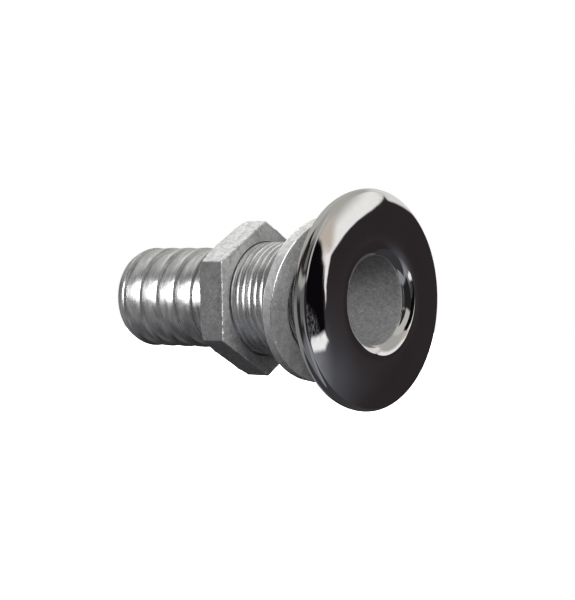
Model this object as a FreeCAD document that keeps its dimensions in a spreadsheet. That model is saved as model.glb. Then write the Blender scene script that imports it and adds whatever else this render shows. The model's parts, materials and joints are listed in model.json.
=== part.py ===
"""Thru hull fitting: a mushroom-headed body with a threaded barrel and a barbed hose tail, a loose washer and
a hexagon nut.

Frame: millimetres. +X runs along the water passage, outboard. The origin is the centre of the flat on the
back of the head, which seats on the hull's outside. +Z is up.
"""
import FreeCAD
import Part
import Sketcher
import os
import re

doc = FreeCAD.newDocument("thru_hull_fitting")

# ---------------------------------------------------------------- driving dimensions
DIMENSIONS = {
    # mushroom head
    "head_radius": 31.25,
    "rim_to_seat": 2.7,           # the head is widest this far from the seat
    "back_curve": 5.6,            # radius of the gentle curve from there back to the seat's edge
    "rim_round": 1.6,             # radius that turns the rim into the crown
    "head_height": 6.6,           # seat to the crown's highest ring
    "crown_radius": 17.25,        # radius of that highest ring
    "lip_depth": 2.2,             # the mouth of the bore lies this far below the crown
    "bore_radius": 12.6,
    # barrel and its shallow thread, 11.5 threads per inch, right-handed, 60 degree flanks, broad crests
    "barrel_length": 45.0,        # seat to the barrel's shoulder
    "neck_length": 3.0,           # plain barrel between the seat and the thread
    "thread_radius": 16.5,
    "thread_root": 15.85,
    "thread_pitch": 25.4 / 11.5,
    "root_flat": 0.3,
    "flank_slope": 0.57735,       # half the flank angle's tangent
    "cut_margin": 0.05,           # a thread's cutting profile passes the surface by this, turns straight,
    "cut_over": 0.4,              # and stands clear of the surface by this
    # barbed hose tail
    "barb_radius": 14.95,
    "barb_root": 14.3,
    "barb_pitch": 6.73,
    "barb_first": 52.2,           # seat to the crest nearest the barrel
    "barb_step": 0.35,            # axial length of the steep face behind a crest
    "barb_land": 0.3,             # flat on a crest
    "nose_length": 3.05,          # last crest to the start of the rounded nose
    "nose_radius": 13.95,
    "nose_round": 1.1,
    "tail_length": 83.15,         # seat to the end of the tail
    "tail_end_radius": 13.0,
    # nut
    "across_flats": 39.4,
    "nut_front": 35.2,            # seat to the nut's front face
    "nut_thickness": 8.8,
    "nut_turned": 3.0,            # degrees that its top corner leans from straight up
    "nut_back_radius": 20.9,      # what the corner chamfer leaves of the back face
    "nut_outside": 24.0,          # a radius clear of the nut's corners
    "nut_minor": 16.05,
    "nut_major": 16.72,
    "flank_clearance": 0.14,      # between the two threads, along the axis
    # washer
    "washer_radius": 23.9,
    "washer_hole": 17.4,
    "washer_thickness": 3.7,
    "washer_edge": 0.35,          # rounding of its outer edges
    "washer_from_seat": 12.4,     # seat to the washer's middle
    "washer_yaw": -6.05,          # degrees: its front face turned towards -Y
    "washer_pitch": 8.0,          # degrees: its front face turned down
}
BARBS = 5

dims = doc.addObject("Spreadsheet::Sheet", "dims")
for row, (alias, value) in enumerate(DIMENSIONS.items(), start=1):
    dims.set(f"A{row}", alias)
    dims.set(f"B{row}", repr(value))
    dims.setAlias(f"B{row}", alias)
doc.recompute()


def bound(text):
    """An expression on the sheet's aliases, such as 'head_height - lip_depth', written out in full."""
    return re.sub(r"[a-z_]+", lambda word: f"dims.{word[0]}" if word[0] in DIMENSIONS else word[0], text)


def number(text):
    """What such an expression comes to."""
    return float(dims.evalExpression(bound(text)))


# ---------------------------------------------------------------- sketching helpers
def origin_feature(body, role):
    return next(feature for feature in body.Origin.OriginFeatures if feature.Role == role)


def new_sketch(body, name, role="XZ_Plane"):
    """A sketch on one of the body's own planes. On XZ, its x is X and its y is the radius, up along Z."""
    sketch = body.newObject("Sketcher::SketchObject", name)
    sketch.AttachmentSupport = [(origin_feature(body, role), "")]
    sketch.MapMode = "FlatFace"
    return sketch


def drive(sketch, kind, where, text):
    """Adds a dimension whose value follows the sheet."""
    index = sketch.addConstraint(Sketcher.Constraint(kind, *where, number(text)))
    sketch.setExpression(f"Constraints[{index}]", bound(text))


def pin_point(sketch, geometry, end, point):
    drive(sketch, "DistanceX", (geometry, end), point[0])
    drive(sketch, "DistanceY", (geometry, end), point[1])


def at(point):
    return FreeCAD.Vector(number(point[0]), number(point[1]), 0)


def add_lines(sketch, points):
    """A chain of straight lines through points given as pairs of expressions. Returns the lines' indices."""
    lines = []
    for start, end in zip(points, points[1:]):
        line = sketch.addGeometry(Part.LineSegment(at(start), at(end)))
        pin_point(sketch, line, 1, start)
        if lines:
            sketch.addConstraint(Sketcher.Constraint("Coincident", lines[-1], 2, line, 1))
        lines.append(line)
    pin_point(sketch, lines[-1], 2, points[-1])
    return lines


def add_loop(sketch, points):
    """The same chain, closed on itself."""
    lines = []
    for start, end in zip(points, points[1:] + points[:1]):
        line = sketch.addGeometry(Part.LineSegment(at(start), at(end)))
        pin_point(sketch, line, 1, start)
        lines.append(line)
    for line, following in zip(lines, lines[1:] + lines[:1]):
        sketch.addConstraint(Sketcher.Constraint("Coincident", line, 2, following, 1))


def add_arc(sketch, start, end, bulge):
    """An arc between two points, to be held by constraints. It starts out bulging by that much on the side
    away from the axis, or on the outboard side where it runs inwards."""
    first, last = at(start), at(end)
    across = (last - first).cross(FreeCAD.Vector(0, 0, 1)).normalize()
    outward = across if across.x + across.y > 0 else -across
    middle = (first + last) / 2 + outward * number(bulge)
    return sketch.addGeometry(Part.Arc(first, middle, last))


def join(sketch, kind, first, first_end, second, second_end):
    sketch.addConstraint(Sketcher.Constraint(kind, first, first_end, second, second_end))


def end_near(sketch, arc, point):
    """Which end of an arc, 1 or 2, lies at the point, and which is the other."""
    first, second = (sketch.getPoint(arc, end).distanceToPoint(at(point)) for end in (1, 2))
    return (1, 2) if first < second else (2, 1)


def revolve(body, name, sketch, kind="PartDesign::Revolution"):
    feature = body.newObject(kind, name)
    feature.Profile = sketch
    feature.ReferenceAxis = (origin_feature(body, "X_Axis"), [""])
    feature.Angle = 360
    return feature


def cut_thread(body, name, start, length, opening, root, over):
    """Cuts a right-handed helical groove along X.

    opening and root are (radius, half width) of the groove's profile, over the radius that it starts from,
    clear of the surface. start is where the profile's middle stands on the +Z side.
    """
    sketch = new_sketch(body, f"{name}_profile")
    sides = [(over, opening[1]), (opening[0], opening[1]), root]
    left = [(f"{start} - ({half})", radius) for radius, half in sides]
    right = [(f"{start} + ({half})", radius) for radius, half in reversed(sides)]
    add_loop(sketch, left + right)
    helix = body.newObject("PartDesign::SubtractiveHelix", name)
    helix.Profile = sketch
    helix.ReferenceAxis = (origin_feature(body, "X_Axis"), [""])
    helix.Mode = "pitch-height-angle"
    helix.setExpression("Pitch", bound("thread_pitch"))
    helix.setExpression("Height", bound(length))
    helix.Refine = False
    return helix


# ---------------------------------------------------------------- fitting body
def fitting_body():
    """Head, barrel and hose tail: one casting, turned about the water passage and threaded."""
    body = doc.addObject("PartDesign::Body", "fitting_body")
    sketch = new_sketch(body, "body_profile")

    tail_edge = ("-tail_length", "tail_end_radius")
    mouth = ("head_height - lip_depth", "bore_radius")
    crest = ("head_height", "crown_radius")
    rim = ("rim_to_seat", "head_radius")
    seat_radius = "head_radius - back_curve + sqrt(back_curve ^ 2 - rim_to_seat ^ 2)"
    seat_edge = ("0", seat_radius)

    last_crest = f"barb_first + {BARBS - 1} * barb_pitch"
    outline = [(f"-({last_crest} + nose_length)", "nose_radius")]
    for barb in reversed(range(BARBS)):
        crest_x = f"barb_first + {barb} * barb_pitch"
        outline += [
            (f"-({crest_x} + barb_land)", "barb_radius"),
            (f"-({crest_x})", "barb_radius"),
            (f"-({crest_x} - barb_step)", "barb_root"),
        ]
    outline += [
        ("-barrel_length", "barb_root"),
        ("-barrel_length", "thread_root"),
        ("-(barrel_length - thread_radius + thread_root)", "thread_radius"),
        ("0", "thread_radius"),
        seat_edge,
    ]

    bore = add_lines(sketch, [mouth, ("-tail_length", "bore_radius"), tail_edge])
    outside = add_lines(sketch, outline)

    nose_start = outline[0]
    nose = add_arc(sketch, tail_edge, nose_start, "nose_round / 3")
    first, last = end_near(sketch, nose, tail_edge)
    join(sketch, "Coincident", bore[-1], 2, nose, first)
    join(sketch, "Coincident", nose, last, outside[0], 1)
    drive(sketch, "Radius", (nose,), "nose_round")

    back = add_arc(sketch, seat_edge, rim, "rim_to_seat / 16")
    first, back_end = end_near(sketch, back, seat_edge)
    join(sketch, "Coincident", outside[-1], 2, back, first)
    pin_point(sketch, back, back_end, rim)
    drive(sketch, "Radius", (back,), "back_curve")

    turn = ("rim_to_seat + rim_round * sqrt(3) / 2", "head_radius - rim_round / 2")
    rim_arc = add_arc(sketch, rim, turn, "rim_round / 8")
    first, rim_arc_end = end_near(sketch, rim_arc, rim)
    join(sketch, "Tangent", back, back_end, rim_arc, first)
    drive(sketch, "Radius", (rim_arc,), "rim_round")

    crown = add_arc(sketch, turn, crest, "rim_round / 2")
    crown_end, crown_start = end_near(sketch, crown, crest)
    join(sketch, "Tangent", rim_arc, rim_arc_end, crown, crown_start)
    pin_point(sketch, crown, crown_end, crest)
    drive(sketch, "DistanceY", (crown, 3), "crown_radius")

    lip = add_arc(sketch, crest, mouth, "lip_depth / 4")
    lip_start, lip_end = end_near(sketch, lip, crest)
    join(sketch, "Coincident", crown, crown_end, lip, lip_start)
    join(sketch, "Coincident", lip, lip_end, bore[0], 1)
    drive(sketch, "DistanceY", (lip, 3), "crown_radius")

    revolve(body, "body_turned", sketch)
    half_root = "root_flat / 2"
    opening_radius = "thread_radius + cut_margin"
    half_opening = f"{half_root} + (thread_radius + cut_margin - thread_root) * flank_slope"
    cut_thread(
        body,
        "barrel_thread",
        start="-(barrel_length + thread_pitch)",
        length=f"barrel_length + thread_pitch - neck_length - ({half_opening})",
        opening=(opening_radius, half_opening),
        root=("thread_root", half_root),
        over="thread_radius + cut_over",
    )
    return body


# ---------------------------------------------------------------- hexagon nut
def hull_nut():
    """The nut stands with its thread in mesh with the barrel's, half a pitch from the barrel's groove."""
    body = doc.addObject("PartDesign::Body", "hull_nut")
    hexagon = new_sketch(body, "nut_hexagon", "YZ_Plane")
    hexagon.setExpression("AttachmentOffset.Base.z", bound("-(nut_front + nut_thickness)"))
    corner = "across_flats / sqrt(3)"
    angles = [f"(90 + nut_turned + {60 * side}) * 1 deg" for side in range(6)]
    add_loop(hexagon, [(f"{corner} * cos({angle})", f"{corner} * sin({angle})") for angle in angles])
    circle = Part.Circle(FreeCAD.Vector(0, 0, 0), FreeCAD.Vector(0, 0, 1), number("nut_minor"))
    hole = hexagon.addGeometry(circle)
    hexagon.addConstraint(Sketcher.Constraint("Coincident", hole, 3, -1, 1))
    drive(hexagon, "Radius", (hole,), "nut_minor")
    blank = body.newObject("PartDesign::Pad", "nut_blank")
    blank.Profile = hexagon
    blank.setExpression("Length", bound("nut_thickness"))

    back = "-(nut_front + nut_thickness)"
    outer = "nut_outside"
    corners = new_sketch(body, "corner_chamfer_profile")
    chamfer_depth = f"({outer} - nut_back_radius) * flank_slope"
    add_loop(corners, [(back, "nut_back_radius"), (f"{back} + {chamfer_depth}", outer), (back, outer)])
    revolve(body, "corner_chamfer", corners, "PartDesign::Groove")

    for name, face, inwards in (("back_entry", back, "+"), ("front_entry", "-nut_front", "-")):
        entry = new_sketch(body, f"{name}_profile")
        rise = "(nut_major - nut_minor + cut_over)"
        points = [
            (face, "nut_minor - cut_over"),
            (face, "nut_major + cut_margin"),
            (f"{face} {inwards} {rise}", "nut_minor - cut_over"),
        ]
        add_loop(entry, points)
        revolve(body, name, entry, "PartDesign::Groove")

    def half_groove(radius):
        """Half the groove's width at a radius: what the barrel's ridge fills there, and the clearance."""
        ridge = f"thread_pitch / 2 - root_flat / 2 - ({radius} - thread_root) * flank_slope"
        return f"{ridge} + flank_clearance"

    cut_thread(
        body,
        "nut_thread",
        start="-(barrel_length + thread_pitch / 2)",
        length="barrel_length + thread_pitch / 2 - nut_front + thread_pitch",
        opening=("nut_minor - cut_margin", half_groove("nut_minor - cut_margin")),
        root=("nut_major", half_groove("nut_major")),
        over="nut_minor - cut_over",
    )
    return body


# ---------------------------------------------------------------- washer
def backing_washer():
    """A thick loose ring, leaning on the barrel as it hangs."""
    body = doc.addObject("PartDesign::Body", "backing_washer")
    sketch = new_sketch(body, "washer_profile")
    half = "washer_thickness / 2"
    add_loop(
        sketch,
        [
            (f"-{half}", "washer_hole"),
            (f"-{half}", "washer_radius"),
            (half, "washer_radius"),
            (half, "washer_hole"),
        ],
    )
    ring = revolve(body, "washer_ring", sketch)
    doc.recompute()
    outer_edges = [
        f"Edge{index}"
        for index, edge in enumerate(ring.Shape.Edges, start=1)
        if edge.Curve.TypeId == "Part::GeomCircle" and abs(edge.Curve.Radius - number("washer_radius")) < 1e-6
    ]
    rounding = body.newObject("PartDesign::Fillet", "washer_edges")
    rounding.Base = (ring, outer_edges)
    rounding.setExpression("Radius", bound("washer_edge"))
    lean = FreeCAD.Rotation(number("washer_yaw"), number("washer_pitch"), 0)
    body.Placement = FreeCAD.Placement(FreeCAD.Vector(-number("washer_from_seat"), 0, 0), lean)
    body.setExpression("Placement.Base.x", bound("-washer_from_seat"))
    return body


# ---------------------------------------------------------------- build, test and write
bodies = [fitting_body(), backing_washer(), hull_nut()]
for body in bodies:
    body.Label = body.Name
doc.recompute()

for item in doc.Objects:
    if {"Invalid", "Error"} & set(item.State):
        raise RuntimeError(f"{item.Label} did not rebuild: {item.getStatusString()}")
for body in bodies:
    if body.Shape.isNull() or not body.Shape.isValid() or len(body.Shape.Solids) != 1:
        raise RuntimeError(f"{body.Label} is not one sound solid")

os.makedirs("parts", exist_ok=True)
for body in bodies:
    body.Shape.exportStep(f"parts/{body.Label}.step")
    print(f"{body.Label}: {body.Shape.Volume:.1f} mm3")
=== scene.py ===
"""Looks of a thru hull fitting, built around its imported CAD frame.

Metres. +X runs along the water passage, outboard. The origin is the middle of the seat on the head's back.
+Z is up. Lengths below are written in millimetres times MM.
"""
import json
import math

import bpy
import numpy as np
from mathutils import Matrix, Vector, noise

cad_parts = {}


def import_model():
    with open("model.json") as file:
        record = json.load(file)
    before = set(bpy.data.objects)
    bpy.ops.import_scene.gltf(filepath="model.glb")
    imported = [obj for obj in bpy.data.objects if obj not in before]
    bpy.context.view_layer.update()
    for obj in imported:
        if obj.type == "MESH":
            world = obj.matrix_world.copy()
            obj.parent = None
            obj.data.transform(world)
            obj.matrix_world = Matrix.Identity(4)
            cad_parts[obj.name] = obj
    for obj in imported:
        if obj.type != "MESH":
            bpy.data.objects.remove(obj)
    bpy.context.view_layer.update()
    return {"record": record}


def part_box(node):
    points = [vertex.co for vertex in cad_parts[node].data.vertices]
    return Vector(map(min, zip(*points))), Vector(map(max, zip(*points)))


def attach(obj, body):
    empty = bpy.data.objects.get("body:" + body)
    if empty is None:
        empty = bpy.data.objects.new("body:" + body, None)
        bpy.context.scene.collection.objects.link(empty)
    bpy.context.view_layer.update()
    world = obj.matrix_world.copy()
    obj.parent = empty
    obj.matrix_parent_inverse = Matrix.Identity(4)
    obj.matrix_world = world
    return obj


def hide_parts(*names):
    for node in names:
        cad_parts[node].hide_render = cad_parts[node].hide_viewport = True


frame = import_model()

MM = 0.001
TURN = 2 * math.pi
mounts = {mount["name"]: mount["dims"] for mount in frame["record"]["mounts"] if mount["dims"]}
body_low, body_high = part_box("fitting_body")
nut_low, nut_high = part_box("hull_nut")

# ---------------------------------------------------------------- sizes of the fitting body
HEAD_RADIUS = body_high.z
HEAD_HEIGHT = body_high.x
TAIL_END = body_low.x
BORE_RADIUS = mounts["water_bore"]["r_mm"] * MM
THREAD_RADIUS = mounts["hull_hole"]["r_mm"] * MM
BARB_RADIUS = mounts["hose_tail"]["r_mm"] * MM
RIM_TO_SEAT = 2.7 * MM
BACK_CURVE = 5.6 * MM
RIM_ROUND = 1.6 * MM
CROWN_RADIUS = 17.25 * MM        # radius of the crown's highest ring
LIP_DEPTH = 2.2 * MM
MOUTH_ROUND = 0.18 * MM
BARREL_END = -45.0 * MM
NECK_END = -3.0 * MM
PITCH = 25.4 / 11.5 * MM
THREAD_ROOT = 15.85 * MM
HALF_ROOT_FLAT = 0.15 * MM
FLANK_SLOPE = math.tan(math.radians(30))
ROOT_SHARE = HALF_ROOT_FLAT / PITCH
FLANK_SHARE = (THREAD_RADIUS - THREAD_ROOT) * FLANK_SLOPE / PITCH
BARB_ROOT = 14.3 * MM
BARB_FIRST = -52.2 * MM
BARB_PITCH = 6.73 * MM
BARBS = 5
BARB_LAND = 0.3 * MM
BARB_STEP = 0.35 * MM
BARB_SWELL = 1.7                 # how much the side of a barb bulges, 1 is straight
NOSE_LENGTH = 3.05 * MM
NOSE_RADIUS = 13.95 * MM
TAIL_END_RADIUS = 13.0 * MM
NOSE_ROUND = 1.1 * MM
COLUMNS = 192                    # round the axis
JOINT_GAP = 0.01 * MM            # between the two meshes that make up the fitting's body
TOUCHING = 1e-6                  # a thread's row this near to its end ring is that ring

# ---------------------------------------------------------------- sizes of the nut and the washer
NUT_FRONT = nut_high.x
NUT_BACK = nut_low.x
ACROSS_FLATS = 39.4 * MM
NUT_TURNED = math.radians(3.0)
NUT_BACK_RADIUS = 20.9 * MM
NUT_MINOR = 16.05 * MM
NUT_MAJOR = 16.72 * MM
FLANK_CLEARANCE = 0.14 * MM
CORNER_ROUND = 0.5 * MM
NUT_EDGE = 0.3 * MM
NUT_ENTRY = 0.1 * MM
NUT_SIDE_COLUMNS = 48            # along each flat
WASHER_RADIUS = 23.9 * MM
WASHER_HOLE = 17.4 * MM
WASHER_THICKNESS = 3.7 * MM
WASHER_EDGE = 0.35 * MM
WASHER_MIDDLE = -12.4 * MM
WASHER_YAW = math.radians(-6.05)
WASHER_PITCH = math.radians(8.0)
WASHER_SOFT = 0.2 * MM
WASHER_COLUMNS = 288

# Material slots of the head's mesh, and of the barrel's and tail's
CHROME, HEAD_BORE = range(2)
BARREL, TAIL, BORE = range(3)


# ---------------------------------------------------------------- curves
def arc(centre, radius, start, end, steps):
    """Points (x, r) on an arc, angles in radians from +X towards the outside, both ends included."""
    angles = np.linspace(start, end, steps + 1)
    return [(centre[0] + radius * math.cos(a), centre[1] + radius * math.sin(a)) for a in angles]


def line(start, end, steps):
    """Points from start to end, without the start."""
    shares = np.linspace(0, 1, steps + 1)[1:]
    return [(start[0] + (end[0] - start[0]) * s, start[1] + (end[1] - start[1]) * s) for s in shares]


def head_profile():
    """From the mouth of the bore over the lip, the crown and the rim to the seat and the barrel."""
    lip_width = CROWN_RADIUS - BORE_RADIUS
    lip_radius = (LIP_DEPTH ** 2 + lip_width ** 2) / (2 * LIP_DEPTH)
    lip_centre = (HEAD_HEIGHT - lip_radius, CROWN_RADIUS)
    rim_centre = (RIM_TO_SEAT, HEAD_RADIUS - RIM_ROUND)
    rise = RIM_TO_SEAT - HEAD_HEIGHT
    drop = rim_centre[1] - CROWN_RADIUS
    crown_radius = (RIM_ROUND ** 2 - rise ** 2 - drop ** 2) / (2 * (rise + RIM_ROUND))
    crown_centre = (HEAD_HEIGHT - crown_radius, CROWN_RADIUS)
    turn = math.atan2(drop, rim_centre[0] - crown_centre[0])
    mouth_angle = -math.asin((lip_width - MOUTH_ROUND) / lip_radius)
    mouth = (lip_centre[0] + lip_radius * math.cos(mouth_angle), BORE_RADIUS + MOUTH_ROUND)
    points = [(mouth[0] - 0.9 * MOUTH_ROUND, BORE_RADIUS)]
    points.append((mouth[0] - 0.35 * MOUTH_ROUND, BORE_RADIUS + 0.3 * MOUTH_ROUND))
    points += arc(lip_centre, lip_radius, mouth_angle, 0, 26)
    points += arc(crown_centre, crown_radius, 0, turn, 44)[1:]
    points += arc(rim_centre, RIM_ROUND, turn, math.pi / 2, 18)[1:]
    back_end = math.pi / 2 + math.asin(RIM_TO_SEAT / BACK_CURVE)
    points += arc((RIM_TO_SEAT, HEAD_RADIUS - BACK_CURVE), BACK_CURVE, math.pi / 2, back_end, 12)[1:]
    seat_radius = points.pop()[1]
    points += [(0.05 * MM, seat_radius), (0, seat_radius - 0.05 * MM)]
    points += line(points[-1], (0, THREAD_RADIUS), 9)
    return points


def tail_profile():
    """From the barrel's shoulder over the barbs and the nose to the inner edge of the tail's end."""
    points = line((BARREL_END, THREAD_ROOT), (BARREL_END, BARB_ROOT), 2)
    for barb in range(BARBS):
        crest = BARB_FIRST - barb * BARB_PITCH
        foot = crest + BARB_STEP
        valley_radius = points[-1][1] - 0.02 * MM if barb else BARB_ROOT
        points += line(points[-1], (foot + 0.12 * MM, valley_radius), 5)
        points += [(foot, BARB_ROOT), (crest + 0.6 * BARB_STEP, BARB_ROOT + 0.2 * (BARB_RADIUS - BARB_ROOT))]
        points += [(crest + 0.15 * BARB_STEP, BARB_RADIUS - 0.1 * MM), (crest, BARB_RADIUS)]
        top = crest - BARB_LAND
        points.append((top, BARB_RADIUS - 0.02 * MM))
        last = barb == BARBS - 1
        foot_radius = NOSE_RADIUS if last else BARB_ROOT
        reach = NOSE_LENGTH - BARB_LAND if last else BARB_PITCH - BARB_STEP - BARB_LAND - 0.3 * MM
        for share in np.linspace(0, 1, 13)[1:]:
            drop = (BARB_RADIUS - foot_radius) * share ** BARB_SWELL
            points.append((top - reach * share, BARB_RADIUS - drop))
    points += nose(points[-1], (TAIL_END, TAIL_END_RADIUS))
    points.append((TAIL_END, BORE_RADIUS + 0.1 * MM))
    points.append((TAIL_END + 0.1 * MM, BORE_RADIUS))
    return points


def nose(start, end):
    """The rounded end of the tail: an arc of NOSE_ROUND from start to end, bulging outwards."""
    middle = ((start[0] + end[0]) / 2, (start[1] + end[1]) / 2)
    half = math.dist(start, end) / 2
    back = math.sqrt(NOSE_ROUND ** 2 - half ** 2)
    inward = ((start[1] - end[1]) / (2 * half), -(start[0] - end[0]) / (2 * half))
    centre = (middle[0] + inward[0] * back, middle[1] + inward[1] * back)
    first = math.atan2(start[1] - centre[1], start[0] - centre[0])
    last = math.atan2(end[1] - centre[1], end[0] - centre[0]) % TURN
    return arc(centre, NOSE_ROUND, first, last, 8)[1:]


# ---------------------------------------------------------------- meshes on a round grid
class RoundMesh:
    """Vertices in rings round the X axis, joined ring to ring. Angles run about +X, from +Z."""

    def __init__(self, angles):
        self.angles = angles
        self.points = []
        self.faces = []
        self.slots = []
        self.wear = []
        self.last = None

    def add(self, x, radius, angle, wear=0.0):
        self.points.append((x, -radius * math.sin(angle), radius * math.cos(angle)))
        self.wear.append(wear)
        return len(self.points) - 1

    def face(self, corners, slot):
        kept = [c for i, c in enumerate(corners) if c != corners[i - 1]]
        if len(kept) > 2:
            self.faces.append(kept)
            self.slots.append(slot)

    def join(self, ring, slot):
        if self.last is not None:
            count = len(ring)
            for i in range(count):
                j = (i + 1) % count
                self.face([self.last[i], self.last[j], ring[j], ring[i]], slot)
        self.last = ring

    def ring(self, x, radius, slot=0, wear=0.0):
        """x and radius are numbers, or functions of the angle."""
        made = []
        for angle in self.angles:
            here_x = x(angle) if callable(x) else x
            here_r = radius(angle) if callable(radius) else radius
            made.append(self.add(here_x, here_r, angle, wear))
        self.join(made, slot)

    def first_ring(self):
        return list(range(len(self.angles)))

    def close(self, slot=0):
        self.join(self.first_ring(), slot)

    def helix(self, start, end, radius_at, samples, phase, slot, last):
        """Rows that follow the thread from the ring before, at x = start, to the ring last, at x = end.

        samples are the axial places of one pitch's rows, rising, as shares of the pitch from a groove's
        middle. phase is where a groove's middle stands at angle 0.
        """
        direction = 1 if end < start else -1
        first = self.last
        count = len(self.angles)
        low, high = min(start, end), max(start, end)
        turns = range(math.floor((low - phase) / PITCH) - 2, math.ceil((high - phase) / PITCH) + 2)
        rows = sorted((turn + sample for turn in turns for sample in samples), reverse=direction == 1)
        step = len(samples)

        def vertex(row, column):
            angle = self.angles[column]
            x = phase + (rows[row] + angle / TURN) * PITCH
            if (start - x) * direction <= TOUCHING:
                return first[column]
            if (x - end) * direction <= TOUCHING:
                return last[column]
            return self.add(x, radius_at(x, rows[row]), angle)

        grid = [[vertex(row, column) for column in range(count)] for row in range(len(rows))]
        for row in range(len(rows) - 1):
            this, following = grid[row], grid[row + 1]
            for column in range(count - 1):
                corners = [this[column], this[column + 1], following[column + 1], following[column]]
                self.face(corners, slot)
            # a whole turn on, the same row is one pitch further out
            beside = row - step * direction
            upper = self._seam(grid, beside, first, last)
            lower = self._seam(grid, beside + 1, first, last)
            self.face([this[-1], upper, lower, following[-1]], slot)
        self.last = last

    @staticmethod
    def _seam(grid, row, first, last):
        """The first column's vertex in a row, or an end ring's where the row is past the thread's end."""
        if row < 0:
            return first[0]
        if row >= len(grid):
            return last[0]
        return grid[row][0]

    def build(self, name, materials):
        mesh = bpy.data.meshes.new(name)
        mesh.from_pydata(self.points, [], self.faces)
        for material in materials:
            mesh.materials.append(material)
        mesh.polygons.foreach_set("material_index", self.slots)
        mesh.polygons.foreach_set("use_smooth", [True] * len(self.faces))
        mesh.attributes.new("wear", "FLOAT", "POINT").data.foreach_set("value", self.wear)
        mesh.update()
        piece = bpy.data.objects.new(name, mesh)
        bpy.context.scene.collection.objects.link(piece)
        return piece


def roughen(piece, amount, chip_depth, seed, clear_radius):
    """Gives a casting its uneven skin and nicked edges; nothing nearer the axis than clear_radius moves."""
    mesh = piece.data
    count = len(mesh.vertices)
    places = np.empty(3 * count)
    normals = np.empty(3 * count)
    wear = np.empty(count)
    mesh.vertices.foreach_get("co", places)
    mesh.vertex_normals.foreach_get("vector", normals)
    mesh.attributes["wear"].data.foreach_get("value", wear)
    places = places.reshape(-1, 3)
    normals = normals.reshape(-1, 3)
    for index, (x, y, z) in enumerate(places / MM):
        if math.hypot(y, z) * MM < clear_radius:
            continue
        swell = noise.noise((0.32 * x + seed, 0.32 * y, 0.32 * z))
        swell += 0.45 * noise.noise((0.9 * x, 0.9 * y + seed, 0.9 * z))
        chip = max(0.0, noise.noise((0.75 * x, 0.75 * y, 0.75 * z + seed)) - 0.05) * wear[index]
        places[index] += normals[index] * (swell * amount - chip * chip_depth)
    mesh.vertices.foreach_set("co", places.ravel())
    mesh.update()


def even_angles(count):
    return [TURN * i / count for i in range(count)]


# ---------------------------------------------------------------- threads
def thread_samples():
    """Axial places of one pitch's rows, as shares of the pitch, from a groove's middle."""
    crest_edge = ROOT_SHARE + FLANK_SHARE
    middle = (ROOT_SHARE + crest_edge) / 2
    half = [0.5 * ROOT_SHARE, 1.4 * ROOT_SHARE, middle, crest_edge - 0.03, crest_edge + 0.02]
    return sorted([0.0, 0.5] + half + [1 - place for place in half])


def groove_depth(place, root_half, flank_run):
    """How deep a groove is, 1 at its root and 0 on the crest, at a share of the pitch from its middle."""
    off = abs((place + 0.5) % 1 - 0.5)
    return min(1.0, max(0.0, 1 - (off - root_half) / flank_run))


def barrel_radius(x, place):
    """The thread's radius. It grows out of the neck, and the barrel's end is bevelled down to its root."""
    depth = (THREAD_RADIUS - THREAD_ROOT) * groove_depth(place, ROOT_SHARE, FLANK_SHARE)
    fade = min(1.0, max(0.0, (NECK_END - x) / (0.8 * PITCH)))
    shoulder = THREAD_ROOT + max(0.0, x - BARREL_END)
    return min(shoulder, THREAD_RADIUS - depth * fade)


# ---------------------------------------------------------------- the pieces
def fitting_head(materials):
    """The head, down to the plane of its seat, with its length of the bore."""
    shape = RoundMesh(even_angles(COLUMNS))
    profile = head_profile()
    for x, radius in profile:
        shape.ring(x, radius, CHROME)
    for x, radius in line(profile[-1], (0, BORE_RADIUS), 3):
        shape.ring(x, radius, HEAD_BORE)
    for x, radius in [(JOINT_GAP, BORE_RADIUS)] + line((0, BORE_RADIUS), profile[0], 6)[:-1]:
        shape.ring(x, radius, HEAD_BORE)
    shape.close(HEAD_BORE)
    return shape.build("fitting_head_chromed", materials)


def fitting_tail(materials):
    """The threaded barrel and the barbed tail, standing off the head's seat plane by a hair's gap."""
    shape = RoundMesh(even_angles(COLUMNS))
    seat = -JOINT_GAP
    shape.ring(seat, BORE_RADIUS, BORE)
    for share in (0.5, 1.0):
        shape.ring(seat, BORE_RADIUS + (THREAD_RADIUS - BORE_RADIUS) * share, BARREL)
    for share in (0.04, 0.5, 1.0):
        shape.ring(NECK_END * share, THREAD_RADIUS, BARREL)
    shoulder = [shape.add(BARREL_END, THREAD_ROOT, angle) for angle in shape.angles]
    shape.helix(NECK_END, BARREL_END, barrel_radius, thread_samples(), BARREL_END, BARREL, shoulder)
    for x, radius in tail_profile():
        shape.ring(x, radius, TAIL)
    for x, radius in line((TAIL_END + 0.1 * MM, BORE_RADIUS), (seat, BORE_RADIUS), 60)[:-1]:
        shape.ring(x, radius, BORE)
    shape.ring(seat - JOINT_GAP, BORE_RADIUS, BORE)
    shape.close(BORE)
    return shape.build("fitting_tail_plated", materials)


def hexagon_radius(angle):
    """The nut's outline at an angle about +X from +Z, with its corners rounded."""
    apothem = ACROSS_FLATS / 2
    sixth = TURN / 6
    off = abs((angle - NUT_TURNED + sixth / 2) % sixth - sixth / 2)
    centre = (apothem - CORNER_ROUND) / math.cos(sixth / 2)
    if centre * math.sin(off) <= CORNER_ROUND * math.sin(sixth / 2):
        return centre * math.cos(off) + math.sqrt(CORNER_ROUND ** 2 - (centre * math.sin(off)) ** 2)
    return apothem / math.cos(sixth / 2 - off)


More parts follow.
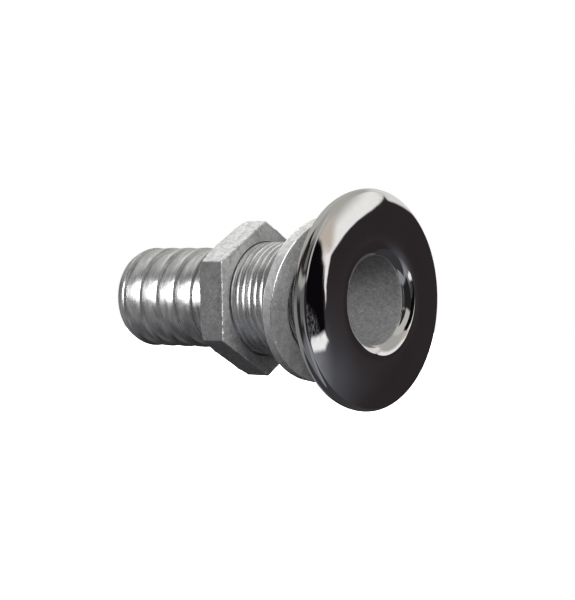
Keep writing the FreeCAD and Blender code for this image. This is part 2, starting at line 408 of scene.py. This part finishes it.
def hull_nut(materials):
    columns = []
    for side in range(6):
        for step in range(NUT_SIDE_COLUMNS):
            share = math.sin((2 * step / NUT_SIDE_COLUMNS - 1) * math.pi / 2)
            columns.append(NUT_TURNED + (side + 0.5 + share / 2) * TURN / 6)
    shape = RoundMesh(columns)
    mouth = NUT_MAJOR + NUT_ENTRY

    def outline(inset):
        return lambda angle: hexagon_radius(angle) - inset

    def across(share):
        return lambda angle: mouth + (hexagon_radius(angle) - NUT_EDGE - mouth) * share

    def back_x(radius_at):
        return lambda angle: NUT_BACK + max(0.0, radius_at(angle) - NUT_BACK_RADIUS) * FLANK_SLOPE

    inner_front = NUT_FRONT - NUT_ENTRY
    shape.ring(inner_front, NUT_MAJOR, wear=0.4)
    for share in (0.0, 0.04, 0.14, 0.26, 0.38, 0.5, 0.62, 0.74, 0.86, 0.95, 1.0):
        shape.ring(NUT_FRONT, across(share), wear=1.0 if share in (0.0, 1.0) else 0.0)
    halfway_round = 0.29 * NUT_EDGE
    shape.ring(NUT_FRONT - halfway_round, outline(halfway_round), wear=1.0)
    side_top = NUT_FRONT - NUT_EDGE
    for share in (0.0, 0.03, *np.linspace(0.08, 0.92, 13), 0.97, 1.0):

        def side_x(angle, share=share):
            bottom = back_x(hexagon_radius)(angle) + NUT_EDGE
            return side_top + (bottom - side_top) * share

        shape.ring(side_x, outline(0), wear=1.0 if share in (0.0, 1.0) else 0.0)
    for share in (0.98, 0.94, 0.85, 0.7, 0.5, 0.3, 0.15, 0.04, 0.0):
        face_radius = across(share)
        shape.ring(back_x(face_radius), face_radius, wear=1.0 if share in (0.98, 0.0) else 0.0)
    inner_back = NUT_BACK + NUT_ENTRY
    shape.ring(inner_back, NUT_MAJOR)
    depth = NUT_MAJOR - NUT_MINOR
    half_at_major = 0.5 - ROOT_SHARE - (NUT_MAJOR - THREAD_ROOT) * FLANK_SLOPE / PITCH
    half_at_major += FLANK_CLEARANCE / PITCH

    def thread_radius(x, place):
        ridge = depth * (1 - groove_depth(place, half_at_major, depth * FLANK_SLOPE / PITCH))
        from_face = max(0.0, min(inner_front - x, x - inner_back))
        return NUT_MAJOR - ridge * min(1.0, from_face / (0.5 * PITCH))

    samples = [-0.4, -0.25, -0.12, 0.0, 0.12, 0.25, 0.4, 0.5]
    phase = BARREL_END + PITCH / 2
    shape.helix(inner_back, inner_front, thread_radius, samples, phase, 0, shape.first_ring())
    piece = shape.build("hull_nut_cast", materials)
    roughen(piece, amount=0.07 * MM, chip_depth=0.4 * MM, seed=5, clear_radius=NUT_MAJOR + 0.4 * MM)
    return piece


def backing_washer(materials):
    shape = RoundMesh(even_angles(WASHER_COLUMNS))
    half = WASHER_THICKNESS / 2
    round_centre = WASHER_RADIUS - WASHER_EDGE
    soft = WASHER_SOFT
    points = [(half - soft, WASHER_HOLE), (half - 0.3 * soft, WASHER_HOLE + 0.3 * soft)]
    points.append((half, WASHER_HOLE + soft))
    points += line(points[-1], (half, round_centre - soft), 10)
    points += arc((half - WASHER_EDGE, round_centre), WASHER_EDGE, 0, math.pi / 2, 5)
    points += line(points[-1], (half - WASHER_EDGE - soft, WASHER_RADIUS), 1)
    points += line(points[-1], (-half + WASHER_EDGE + soft, WASHER_RADIUS), 6)
    points += arc((-half + WASHER_EDGE, round_centre), WASHER_EDGE, math.pi / 2, math.pi, 5)
    points += line(points[-1], (-half, round_centre - soft), 1)
    points += line(points[-1], (-half, WASHER_HOLE + soft), 10)
    points += [(-half + 0.3 * soft, WASHER_HOLE + 0.3 * soft), (-half + soft, WASHER_HOLE)]
    for x, radius in points:
        # The rounded edges are worn; their bright colour also paints the washer's edge highlight line
        worn_and_highlit = abs(x) > half - 1.01 * WASHER_EDGE and radius > round_centre - 0.1 * soft
        shape.ring(x, radius, wear=1.0 if worn_and_highlit else 0.0)
    for share in (0.2, 0.4, 0.6, 0.8):
        shape.ring((-half + soft) * (1 - 2 * share), WASHER_HOLE)
    shape.close()
    piece = shape.build("backing_washer_cast", materials)
    roughen(piece, amount=0.05 * MM, chip_depth=0.12 * MM, seed=11, clear_radius=WASHER_HOLE + 0.4 * MM)
    lean = Matrix.Rotation(WASHER_YAW, 4, "Z") @ Matrix.Rotation(WASHER_PITCH, 4, "Y")
    piece.data.transform(Matrix.Translation((WASHER_MIDDLE, 0, 0)) @ lean)
    return piece


# ---------------------------------------------------------------- material nodes
class Nodes:
    """A short way to write a node tree."""

    def __init__(self, tree):
        self.tree = tree
        tree.nodes.clear()

    def new(self, kind, inputs=None, **settings):
        node = self.tree.nodes.new(kind)
        for key, value in settings.items():
            setattr(node, key, value)
        for key, value in (inputs or {}).items():
            self.set(node.inputs[key], value)
        return node

    def set(self, socket, value):
        if isinstance(value, bpy.types.NodeSocket):
            self.tree.links.new(value, socket)
        else:
            socket.default_value = value

    def maths(self, operation, *values):
        node = self.new("ShaderNodeMath", operation=operation)
        for socket, value in zip(node.inputs, values):
            self.set(socket, value)
        return node.outputs[0]

    def smooth(self, value, low, high, to_low=0.0, to_high=1.0):
        inputs = {"Value": value, "From Min": low, "From Max": high, "To Min": to_low, "To Max": to_high}
        return self.new("ShaderNodeMapRange", inputs, interpolation_type="SMOOTHSTEP").outputs[0]

    def noise(self, vector, scale, detail, rough):
        inputs = {"Vector": vector, "Scale": scale, "Detail": detail, "Roughness": rough}
        return self.new("ShaderNodeTexNoise", inputs).outputs["Fac"]

    def mix(self, share, first, second):
        """A colour mix; a mix node's colour sockets are its inputs 6 and 7 and its output 2."""
        node = self.new("ShaderNodeMix", {"Factor": share}, data_type="RGBA")
        self.set(node.inputs[6], first)
        self.set(node.inputs[7], second)
        return node.outputs[2]

    def bump(self, height, strength, distance, normal=None):
        node = self.new("ShaderNodeBump", {"Strength": strength, "Distance": distance, "Height": height})
        if normal is not None:
            self.set(node.inputs["Normal"], normal)
        return node.outputs[0]


def new_material(name):
    material = bpy.data.materials.new(name)
    material.use_nodes = True
    return material, Nodes(material.node_tree)


def finish_material(nodes, colour, roughness, normal, metallic=1.0):
    inputs = {"Base Color": colour, "Roughness": roughness, "Metallic": metallic}
    shader = nodes.new("ShaderNodeBsdfPrincipled", inputs)
    if normal is not None:
        nodes.set(shader.inputs["Normal"], normal)
    output = nodes.new("ShaderNodeOutputMaterial")
    nodes.set(output.inputs["Surface"], shader.outputs[0])


def grey(value, warm=0.0):
    return (value * (1 + warm), value, value * (1 - warm), 1.0)


def around_axis(nodes):
    """A place, and the same place as x, distance from the X axis and angle about it."""
    place = nodes.new("ShaderNodeTexCoord").outputs["Object"]
    x, y, z = nodes.new("ShaderNodeSeparateXYZ", {"Vector": place}).outputs
    squares = nodes.maths("ADD", nodes.maths("MULTIPLY", y, y), nodes.maths("MULTIPLY", z, z))
    return place, x, nodes.maths("SQRT", squares), nodes.maths("ARCTAN2", y, z)


def turned_lines(nodes, x, radius, angle, scale, stretch):
    """Fine lines that a tool or a buffing wheel leaves round the axis."""
    inputs = {"X": x, "Y": radius, "Z": nodes.maths("MULTIPLY", angle, stretch)}
    return nodes.noise(nodes.new("ShaderNodeCombineXYZ", inputs).outputs[0], scale, 3.0, 0.6)


def chrome_material():
    material, nodes = new_material("mirror_chrome")
    place, x, radius, angle = around_axis(nodes)
    haze = nodes.noise(place, 90.0, 5.0, 0.6)
    buffed = turned_lines(nodes, x, radius, angle, 1400.0, 0.0012)
    specks = nodes.smooth(nodes.noise(place, 900.0, 2.0, 0.5), 0.74, 0.8)
    colour = nodes.mix(nodes.smooth(haze, 0.3, 0.75), grey(0.80, 0.01), grey(0.74, 0.0))
    hazy = nodes.smooth(haze, 0.35, 0.8, 0.015, 0.06)
    roughness = nodes.maths("ADD", hazy, nodes.maths("MULTIPLY", specks, 0.25))
    ripple = nodes.bump(nodes.noise(place, 60.0, 2.0, 0.4), 0.25, 0.00006)
    normal = nodes.bump(buffed, 0.05, 0.00001, ripple)
    finish_material(nodes, colour, roughness, normal)
    return material


def satin_material(name, tone, rough, line_scale):
    """Plating over a turned surface: fine lines round the axis, faint stains and a fine grain."""
    material, nodes = new_material(name)
    place, x, radius, angle = around_axis(nodes)
    lines = turned_lines(nodes, x, radius, angle, line_scale, 0.0016)
    streaks = turned_lines(nodes, x, radius, angle, 520.0, 0.004)
    blotch = nodes.noise(place, 240.0, 5.0, 0.6)
    grain = nodes.noise(place, 1900.0, 3.0, 0.6)
    pale = nodes.mix(nodes.smooth(blotch, 0.35, 0.7), grey(tone * 0.78), grey(tone, 0.01))
    colour = nodes.mix(nodes.smooth(streaks, 0.35, 0.62), pale, grey(tone * 0.62, -0.01))
    base = nodes.smooth(blotch, 0.3, 0.7, rough - 0.05, rough + 0.07)
    roughness = nodes.maths("ADD", base, nodes.smooth(lines, 0.3, 0.7, -0.03, 0.06))
    coarse = nodes.bump(streaks, 0.35, 0.00004)
    pitted = nodes.bump(grain, 0.12, 0.00002, coarse)
    normal = nodes.bump(lines, 0.35, 0.00002, pitted)
    finish_material(nodes, colour, roughness, normal, nodes.smooth(blotch, 0.3, 0.7, 0.82, 0.95))
    return material


def cast_material(name, tone, rough, worn_and_highlit_tone, metal, nick_level):
    """A tumbled zinc casting: cloudy grey, fine grain with pale and dark pits, and bright edges that are
    partly real wear and partly a painted highlight.

    The lower nick_level is, the more of each edge is worn and painted bright.
    """
    material, nodes = new_material(name)
    place = nodes.new("ShaderNodeTexCoord").outputs["Object"]
    cloud = nodes.noise(place, 120.0, 5.0, 0.6)
    blotch = nodes.noise(place, 560.0, 5.0, 0.7)
    grain = nodes.noise(place, 1350.0, 5.0, 0.7)
    wear = nodes.new("ShaderNodeAttribute", attribute_name="wear").outputs["Fac"]
    nicks = nodes.smooth(nodes.noise(place, 520.0, 4.0, 0.75), nick_level, nick_level + 0.13)
    worn_and_highlit = nodes.maths("MULTIPLY", nodes.smooth(wear, 0.35, 0.95), nicks)
    clouded = nodes.mix(nodes.smooth(cloud, 0.3, 0.7), grey(tone * 0.80), grey(tone * 1.04))
    blotched = nodes.mix(nodes.smooth(blotch, 0.4, 0.66, 0.0, 0.7), clouded, grey(tone * 0.6))
    bright_grain = nodes.mix(nodes.smooth(grain, 0.54, 0.7, 0.0, 0.6), blotched, grey(min(0.95, tone * 1.8)))
    speckled = nodes.mix(nodes.smooth(grain, 0.45, 0.32, 0.0, 0.6), bright_grain, grey(tone * 0.35))
    # Worn edges get a bright bare-metal colour, which also paints a highlight line along the edges
    colour = nodes.mix(worn_and_highlit, speckled, grey(worn_and_highlit_tone))
    base = nodes.smooth(blotch, 0.3, 0.7, rough - 0.04, rough + 0.1)
    roughness = nodes.maths("SUBTRACT", base, nodes.maths("MULTIPLY", worn_and_highlit, 0.2))
    coarse = nodes.bump(blotch, 0.5, 0.00012)
    normal = nodes.bump(grain, 0.45, 0.00005, coarse)
    metallic = nodes.maths("MAXIMUM", nodes.smooth(cloud, 0.3, 0.7, metal - 0.1, metal + 0.1), worn_and_highlit)
    finish_material(nodes, colour, roughness, normal, metallic)
    return material


# ---------------------------------------------------------------- camera, stage and light
CAMERA_AZIMUTH = math.radians(37.48)
CAMERA_ELEVATION = math.radians(0.128)
CAMERA_ROLL = math.radians(0.888)
CAMERA_DISTANCE = 0.5381
CAMERA_LENS = 114.93
AIM = Vector((-27.43 * MM, 0, -0.35 * MM))
FLOOR_DROP = 0.12
FLOOR_RADIUS = 6.0
FLOOR_SIDES = 96


def bearing(azimuth, elevation):
    """The way from the object towards an azimuth and an elevation in degrees. Azimuth 0 is +X, 90 is +Y."""
    level = math.cos(math.radians(elevation))
    turn = math.radians(azimuth)
    return Vector((level * math.cos(turn), level * math.sin(turn), math.sin(math.radians(elevation))))


def camera():
    level = math.cos(CAMERA_ELEVATION)
    x = math.sin(CAMERA_AZIMUTH) * level
    y = -math.cos(CAMERA_AZIMUTH) * level
    back = Vector((x, y, math.sin(CAMERA_ELEVATION)))
    data = bpy.data.cameras.new("camera")
    data.lens = CAMERA_LENS
    data.sensor_width = 36
    data.clip_start = 0.01
    seen = bpy.data.objects.new("camera", data)
    seen.location = back * CAMERA_DISTANCE
    look = (AIM - seen.location).to_track_quat("-Z", "Y").to_matrix()
    seen.rotation_euler = (look @ Matrix.Rotation(CAMERA_ROLL, 3, "Z")).to_euler()
    bpy.context.scene.collection.objects.link(seen)
    bpy.context.scene.camera = seen


def floor():
    angles = even_angles(FLOOR_SIDES)
    ring = [(FLOOR_RADIUS * math.cos(a), FLOOR_RADIUS * math.sin(a), -FLOOR_DROP) for a in angles]
    mesh = bpy.data.meshes.new("floor")
    mesh.from_pydata(ring, [], [list(range(FLOOR_SIDES))])
    material, nodes = new_material("pale_floor")
    place = nodes.new("ShaderNodeTexCoord").outputs["Object"]
    tone = nodes.smooth(nodes.noise(place, 3.0, 2.0, 0.5), 0.3, 0.7)
    colour = nodes.mix(tone, grey(0.86), grey(0.88))
    finish_material(nodes, colour, 0.9, None, 0.0)
    mesh.materials.append(material)
    flat = bpy.data.objects.new("floor", mesh)
    bpy.context.scene.collection.objects.link(flat)
    flat.visible_glossy = False
    flat.visible_diffuse = False
    return flat


# Soft lamps: name, azimuth and elevation that they shine from in degrees, strength, angular size in degrees.
# Nothing mirrors them.
LAMPS = [
    ("top_lamp", 165, 62, 3.2, 40),
    ("front_lamp", -24, 18, 4.5, 20),
    ("side_lamp", 60, 35, 0.6, 40),
]
FLOOR_LAMP = ("floor_lamp", 0, 88, 4.2, 70)
FILL_LAMP = ("fill_lamp", -58, 24, 4.0, 30)


def sun(name, azimuth, elevation, strength, size):
    data = bpy.data.lights.new(name, "SUN")
    data.energy = strength
    data.angle = math.radians(size)
    lamp = bpy.data.objects.new(name, data)
    toward = bearing(azimuth, elevation)
    lamp.rotation_euler = toward.to_track_quat("Z", "Y").to_euler()
    lamp.location = toward
    lamp.visible_glossy = False
    bpy.context.scene.collection.objects.link(lamp)
    return lamp


# Soft boxes that show as highlights in the satin and the cast parts: name, azimuth and elevation of the
# middle, width and height in degrees, brightness.
BARB_BOX = ("barb_box", -148, 6, 12, 16, 2.3)
BARREL_BOX = ("barrel_box", -127, 9, 30, 28, 9.5)
SKY_BOX = ("sky_box", 165, 56, 60, 30, 0.8)
NUT_BOX = ("nut_box", 154, 46, 40, 26, 1.35)
EDGE_BOX = ("edge_box", -45, 24, 40, 50, 3.2)
BOX_DISTANCE = 0.6
BOXES_ROUND = Vector((-45 * MM, 0, 0))


def soft_box(name, azimuth, elevation, width, height, brightness):
    data = bpy.data.lights.new(name, "AREA")
    data.shape = "RECTANGLE"
    data.size = 2 * BOX_DISTANCE * math.tan(math.radians(width / 2))
    data.size_y = 2 * BOX_DISTANCE * math.tan(math.radians(height / 2))
    data.energy = brightness * math.pi * data.size * data.size_y
    box = bpy.data.objects.new(name, data)
    toward = bearing(azimuth, elevation)
    box.location = toward * BOX_DISTANCE + BOXES_ROUND
    box.rotation_euler = toward.to_track_quat("Z", "Y").to_euler()
    box.visible_camera = False
    bpy.context.scene.collection.objects.link(box)
    return box


def light_only(lamp, lit_objects):
    """Lets a lamp shine on these objects and no others."""
    lit = bpy.data.collections.new("lit_by_" + lamp.name)
    for lit_object in lit_objects:
        lit.objects.link(lit_object)
    lamp.light_linking.receiver_collection = lit


DARK = (0.029, 0.0232, 0.0248)   # what no card covers, and some of the black flags
# What the polished head mirrors: a wide sky, a bright band that ends in a tip, and black flags round it. Each
# card is painted over those before it. A card is its corners as azimuth and elevation in degrees, in order
# round a convex outline, then the softness of its edge in degrees, then its colour.
CARDS = [
    ([(-300, 46), (300, 46), (300, 140), (-300, 140)], 8, (0.40, 0.39, 0.375)),
    ([(-20, 46), (14, 23), (30, 6), (130, 6), (130, 140), (-20, 140)], 1, (0.46, 0.455, 0.43)),
    ([(120, 6), (190, 14), (190, 140), (120, 140)], 3, (0.46, 0.445, 0.43)),
    ([(22, 2), (66, 18), (63, 33), (22, 19)], 5, (1.0, 0.985, 0.965)),
    ([(62, 8), (125, 8), (120, 46), (70, 40)], 5, (0.82, 0.805, 0.79)),
    ([(20, 16), (28, 11), (31, 12.5), (29, 27), (20, 24)], 3, (0.60, 0.53, 0.46)),
    ([(26, 8.3), (66, 23.5), (66, -20), (26, -20)], 0.7, DARK),
    ([(64, 24.4), (88, 14), (130, 0), (130, -20), (62, -20)], 0.7, DARK),
    ([(110, 24), (196, 28), (196, 62), (110, 62)], 6, (0.48, 0.49, 0.455)),
    ([(-170, -22), (-34, -22), (-34, 10), (-170, 10)], 6, (0.15, 0.15, 0.152)),
    ([(-215, -60), (-152, -60), (-152, 0), (-215, 0)], 6, (0.25, 0.25, 0.255)),
    ([(-150, -34), (10, -34), (10, -120), (-150, -120)], 8, (0.18, 0.183, 0.2)),
    ([(-60, -14), (38, -14), (38, -120), (-60, -120)], 22, (0.11, 0.113, 0.13)),
    ([(-60, -16), (23, -16), (23, -120), (-60, -120)], 12, (0.29, 0.295, 0.32)),
    ([(-8, -31), (200, -31), (200, -120), (-8, -120)], 2.5, (0.045, 0.045, 0.05)),
    ([(-150, -30), (-118, -30), (-118, 0), (-150, 0)], 5, (0.02, 0.02, 0.02)),
    ([(-124, 8), (-60, 10), (-30, 13), (-60, 20), (-124, 20)], 4, (0.42, 0.42, 0.40)),
    ([(-34, -26), (3, -26), (3, 8), (-34, 8)], 3, (0.02, 0.02, 0.02)),
    ([(-110, 26), (-98, 57), (-50, 57), (-50, 25)], 3, (0.16, 0.16, 0.15)),
    ([(-168, 38), (-105, 38), (-105, 50), (-168, 50)], 3, (0.01, 0.01, 0.01)),
    ([(-150, 10), (-122, 8), (-122, 20), (-150, 21)], 4, (0.4, 0.4, 0.39)),
    ([(-20, 10), (6, 9), (10, 40), (6, 62), (-12, 62), (-20, 50)], 2, (0.56, 0.56, 0.53)),
    (
        [(6, 26), (14.5, 23), (20.5, 17), (25.5, 8), (27.5, 0), (28.3, -9), (12, -14.5), (4, -8)],
        1.2,
        (0.004, 0.003, 0.004),
    ),
    ([(24.7, 12), (30.5, 11), (29.8, 0), (28.5, -5), (27.6, 0), (26.5, 7)], 0.6, (1.0, 0.99, 0.97)),
    ([(11, -16.5), (14, -13), (27, -8), (29.5, -9.5), (26, -13.5), (14, -18.5)], 1, (1.05, 1.05, 1.05)),
]
# Where pale flecks break up a black flag
FLECKED = [(5, 4), (11, 1), (18, -6), (27, -9.5), (12, -14.5), (3, -8)]


def inside_card(nodes, azimuth, elevation, corners, soft):
    """1 inside the card, 0 outside, with a soft edge."""
    middle_az = sum(corner[0] for corner in corners) / len(corners)
    middle_el = sum(corner[1] for corner in corners) / len(corners)
    across = nodes.maths("WRAP", nodes.maths("SUBTRACT", azimuth, middle_az), 180.0, -180.0)
    nearest = None
    for index, corner in enumerate(corners):
        before = corners[index - 1]
        run, rise = corner[0] - before[0], corner[1] - before[1]
        length = math.hypot(run, rise)
        inward = (-rise / length, run / length)
        depth = (middle_az - before[0]) * inward[0] + (middle_el - before[1]) * inward[1]
        if depth < 0:
            inward = (-inward[0], -inward[1])
        start = inward[0] * (middle_az - before[0]) - inward[1] * before[1]
        part = nodes.maths("MULTIPLY_ADD", across, inward[0], start)
        distance = nodes.maths("MULTIPLY_ADD", elevation, inward[1], part)
        nearest = distance if nearest is None else nodes.maths("MINIMUM", nearest, distance)
    return nodes.smooth(nearest, -soft, soft)


def world():
    made = bpy.data.worlds.new("studio")
    made.use_nodes = True
    bpy.context.scene.world = made
    nodes = Nodes(made.node_tree)
    toward = nodes.new("ShaderNodeTexCoord").outputs["Generated"]
    x, y, z = nodes.new("ShaderNodeSeparateXYZ", {"Vector": toward}).outputs
    azimuth = nodes.maths("DEGREES", nodes.maths("ARCTAN2", y, x))
    elevation = nodes.maths("DEGREES", nodes.maths("ARCSINE", z))
    wobble = nodes.smooth(nodes.noise(toward, 9.0, 3.0, 0.6), 0.2, 0.8, -0.7, 0.7)
    azimuth = nodes.maths("ADD", azimuth, wobble)
    colour = (*DARK, 1.0)
    for corners, soft, tint in CARDS:
        colour = nodes.mix(inside_card(nodes, azimuth, elevation, corners, soft), colour, (*tint, 1.0))
    flecks = nodes.smooth(nodes.noise(toward, 42.0, 5.0, 0.75), 0.44, 0.66)
    flecked = inside_card(nodes, azimuth, elevation, FLECKED, 2.5)
    colour = nodes.mix(nodes.maths("MULTIPLY", flecks, flecked), colour, (0.24, 0.24, 0.25, 1.0))
    seen = nodes.new("ShaderNodeLightPath").outputs["Is Camera Ray"]
    colour = nodes.mix(seen, colour, (1.0, 1.0, 1.0, 1.0))
    light = nodes.new("ShaderNodeBackground", {"Color": colour, "Strength": 1.0})
    output = nodes.new("ShaderNodeOutputWorld")
    nodes.set(output.inputs["Surface"], light.outputs[0])


camera()
flat_floor = floor()
world()
for settings in LAMPS:
    sun(*settings)
light_only(sun(*FLOOR_LAMP), [flat_floor])
bpy.context.scene.view_settings.view_transform = "Standard"

# ---------------------------------------------------------------- the object
chrome = chrome_material()
barrel_plating = satin_material("barrel_plating", tone=0.84, rough=0.25, line_scale=2600.0)
tail_plating = satin_material("tail_plating", tone=0.66, rough=0.28, line_scale=1800.0)
bore_casting = cast_material(
    "bore_casting", tone=0.35, rough=0.5, worn_and_highlit_tone=0.6, metal=0.3, nick_level=0.47
)
nut_casting = cast_material(
    "nut_casting", tone=0.46, rough=0.38, worn_and_highlit_tone=0.9, metal=0.7, nick_level=0.46
)
# A low nick_level wears nearly the whole edge bright: real wear and a painted highlight line along the edge
washer_casting = cast_material(
    "washer_casting", tone=0.46, rough=0.42, worn_and_highlit_tone=0.98, metal=0.62, nick_level=0.28
)

head = fitting_head([chrome, bore_casting])
tail = fitting_tail([barrel_plating, tail_plating, bore_casting])
for piece in (head, tail):
    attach(piece, "fitting")
    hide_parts("fitting_body")

washer = backing_washer([washer_casting])
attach(washer, "washer")
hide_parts("backing_washer")

nut = hull_nut([nut_casting])
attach(nut, "nut")
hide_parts("hull_nut")

light_only(soft_box(*BARREL_BOX), [tail])
light_only(soft_box(*BARB_BOX), [tail, washer])
light_only(soft_box(*SKY_BOX), [tail, washer])
light_only(soft_box(*NUT_BOX), [nut])
light_only(soft_box(*EDGE_BOX), [nut, washer])
light_only(sun(*FILL_LAMP), [washer])
